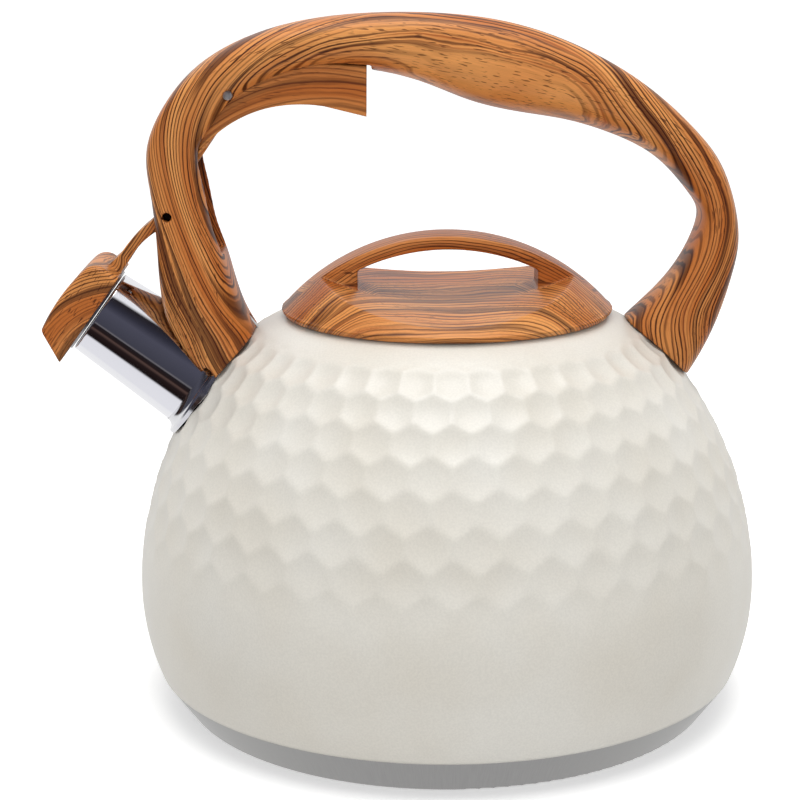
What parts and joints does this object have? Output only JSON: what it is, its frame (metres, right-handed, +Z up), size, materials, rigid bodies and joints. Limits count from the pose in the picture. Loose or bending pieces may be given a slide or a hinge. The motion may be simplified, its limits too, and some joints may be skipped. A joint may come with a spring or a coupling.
{
  "type": "whistling kettle",
  "caption": "Round stovetop kettle with a hammered belt, wood-look bail handle, finger trigger that lifts the whistling spout cap, and a lift-off lid.",
  "frame": {"origin": "centre of the base's resting face", "axes": "+Z up; the spout points to -X and the handle lies in the XZ plane"},
  "size_m": [0.2273, 0.2, 0.2207],
  "materials": {
    "enamel": "satin pearl cream enamel over hammered steel",
    "brushed_base": "fine vertical brushing",
    "aluminium_core": "plain",
    "chrome_spout": "polished",
    "plain_steel": "plain pressed",
    "pin_steel": "ground",
    "silicone": "matt translucent grey",
    "wood_look_plastic": "satin with a printed wood figure"
  },
  "bodies": {
    "kettle": {"body_shell": "enamel", "base_cup": "brushed_base", "heat_spreader": "aluminium_core", "spout_tube": "chrome_spout", "spout_collar": "chrome_spout", "handle": "wood_look_plastic", "front_bracket": "plain_steel", "rear_bracket": "plain_steel", "front_handle_screw": "plain_steel", "rear_handle_screw": "plain_steel", "cap_hinge_pin": "pin_steel", "trigger_pin": "pin_steel", "cap_spring": "pin_steel"},
    "trigger": {"trigger": "wood_look_plastic"},
    "cap": {"spout_cap": "wood_look_plastic", "drive_pin": "pin_steel", "whistle_cup": "chrome_spout", "whistle_front_plate": "plain_steel", "whistle_back_plate": "plain_steel"},
    "lid": {"lid_cover": "wood_look_plastic", "lid_plate": "plain_steel", "lid_gasket": "silicone", "lid_washer": "plain_steel", "lid_screw": "plain_steel"}
  },
  "joints": [
    {"name": "trigger_pivot", "type": "hinge", "parent": "kettle", "child": "trigger", "pos_m": [-0.0676, 0, 0.196], "axis": [0, -1, 0], "range_deg": [0, 14]},
    {"name": "cap_hinge", "type": "hinge", "parent": "kettle", "child": "cap", "pos_m": [-0.0872, 0, 0.1587], "axis": [0, 1, 0], "range_deg": [0, 39.18], "stiffness_Nm_per_rad": 0.02, "springref_deg": -57.3, "deforming": ["cap_spring"]},
    {"name": "lid_lift", "type": "slide", "parent": "kettle", "child": "lid", "axis": [0, 0, 1], "range_m": [0, 0.032]}
  ],
  "couplings": [
    {"joint": "cap_hinge", "follows": "trigger_pivot", "ratio": 2.795}
  ]
}
